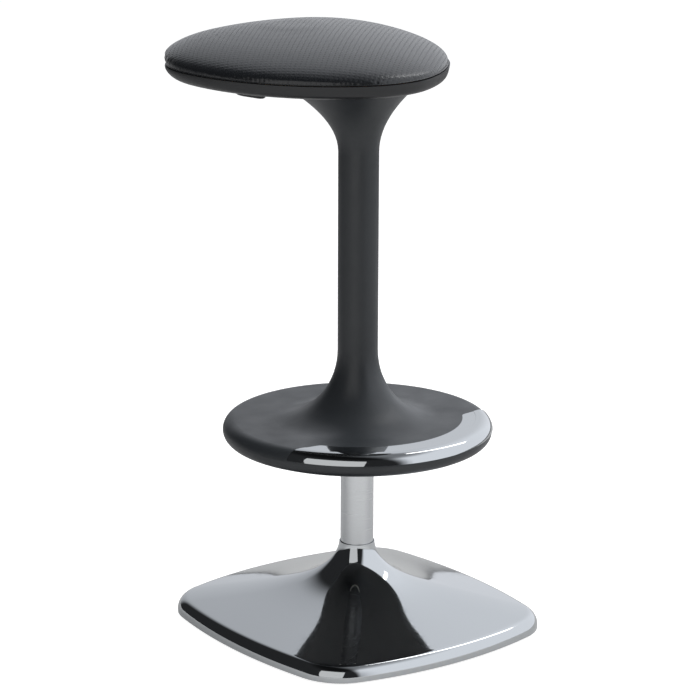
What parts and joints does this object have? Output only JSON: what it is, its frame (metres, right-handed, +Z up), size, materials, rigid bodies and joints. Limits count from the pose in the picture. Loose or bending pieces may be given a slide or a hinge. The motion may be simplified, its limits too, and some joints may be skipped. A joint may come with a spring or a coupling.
{
  "type": "high stool",
  "caption": "High swivel stool with a gas lift: square trumpet base, slim column with a round foot disc and metal scuff plate, and a rounded triangular padded seat with a release lever.",
  "frame": {"origin": "on the floor under the column, at the middle of the base", "axes": "+Z up along the column, -Y the way the sitter faces, +X the sitter's left; the release lever is on -X"},
  "size_m": [0.4258, 0.4961, 0.8296],
  "materials": {
    "chrome": "mirror-bright chrome plating",
    "satin_steel": "satin chromed tube",
    "soft_skin": "matte anthracite integral skin",
    "black_plastic": "fine-textured dark plastic",
    "bearing_plastic": "natural acetal",
    "upholstery": "embossed anthracite synthetic leather over foam",
    "plywood": "raw beech plywood",
    "steel": "plain steel",
    "fasteners": "zinc plated",
    "ballast": "raw steel plate",
    "rubber": "matte black",
    "piston_metal": "turned"
  },
  "bodies": {
    "base": {"base_shell": "chrome", "floor_pad": "rubber", "ballast_plate": "ballast", "taper_socket": "steel", "base_screws": "fasteners", "collar_ring": "black_plastic", "column_tube": "satin_steel", "tube_floor": "steel", "guide_bush": "bearing_plastic", "bearing_race_lower": "steel"},
    "bearing": {"roller_cage": "bearing_plastic", "bearing_rollers": "steel"},
    "spindle": {"bearing_race_upper": "steel", "rod_buffer": "rubber", "piston_rod": "steel", "piston": "piston_metal", "piston_seal": "rubber", "rod_washer": "steel", "rod_clip": "steel"},
    "column": {"pressure_cylinder": "steel", "cylinder_end": "steel", "core_tube": "steel", "low_bush": "bearing_plastic", "column_moulding": "soft_skin", "foot_plate": "steel", "foot_plate_screws": "fasteners", "foot_cover": "black_plastic", "cover_screws": "fasteners", "scuff_plate": "chrome", "seat_hub": "steel", "seat_plate": "steel", "seat_screws": "fasteners", "tee_nuts": "fasteners", "seat_board": "plywood", "seat_shell": "black_plastic", "shell_screws": "fasteners", "seat_cushion": "upholstery", "lever_bracket": "steel", "pivot_pin": "steel"},
    "lever": {"lever_rod": "steel", "lever_paddle": "black_plastic"},
    "valve": {"valve_pin": "steel"}
  },
  "joints": [
    {"name": "swivel", "type": "hinge", "parent": "base", "child": "spindle", "pos_m": [0, 0, 0.034], "axis": [0, 0, 1], "continuous": true},
    {"name": "bearing_roll", "type": "hinge", "parent": "base", "child": "bearing", "pos_m": [0, 0, 0.032], "axis": [0, 0, 1], "continuous": true},
    {"name": "lift", "type": "slide", "parent": "spindle", "child": "column", "axis": [0, 0, 1], "range_m": [-0.13, 0]},
    {"name": "lever_pull", "type": "hinge", "parent": "column", "child": "lever", "pos_m": [-0.03757, 0.02477, 0.7655], "axis": [0.5505, 0.8348, 0], "range_deg": [0, 3.6], "stiffness_Nm_per_rad": 6, "springref_deg": -3.44},
    {"name": "valve_press", "type": "slide", "parent": "column", "child": "valve", "axis": [0, 0, -1], "range_m": [0, 0.003]}
  ],
  "couplings": [
    {"joint": "bearing_roll", "follows": "swivel", "ratio": 0.5},
    {"joint": "valve_press", "follows": "lever_pull", "m_per_rad": 0.045}
  ]
}
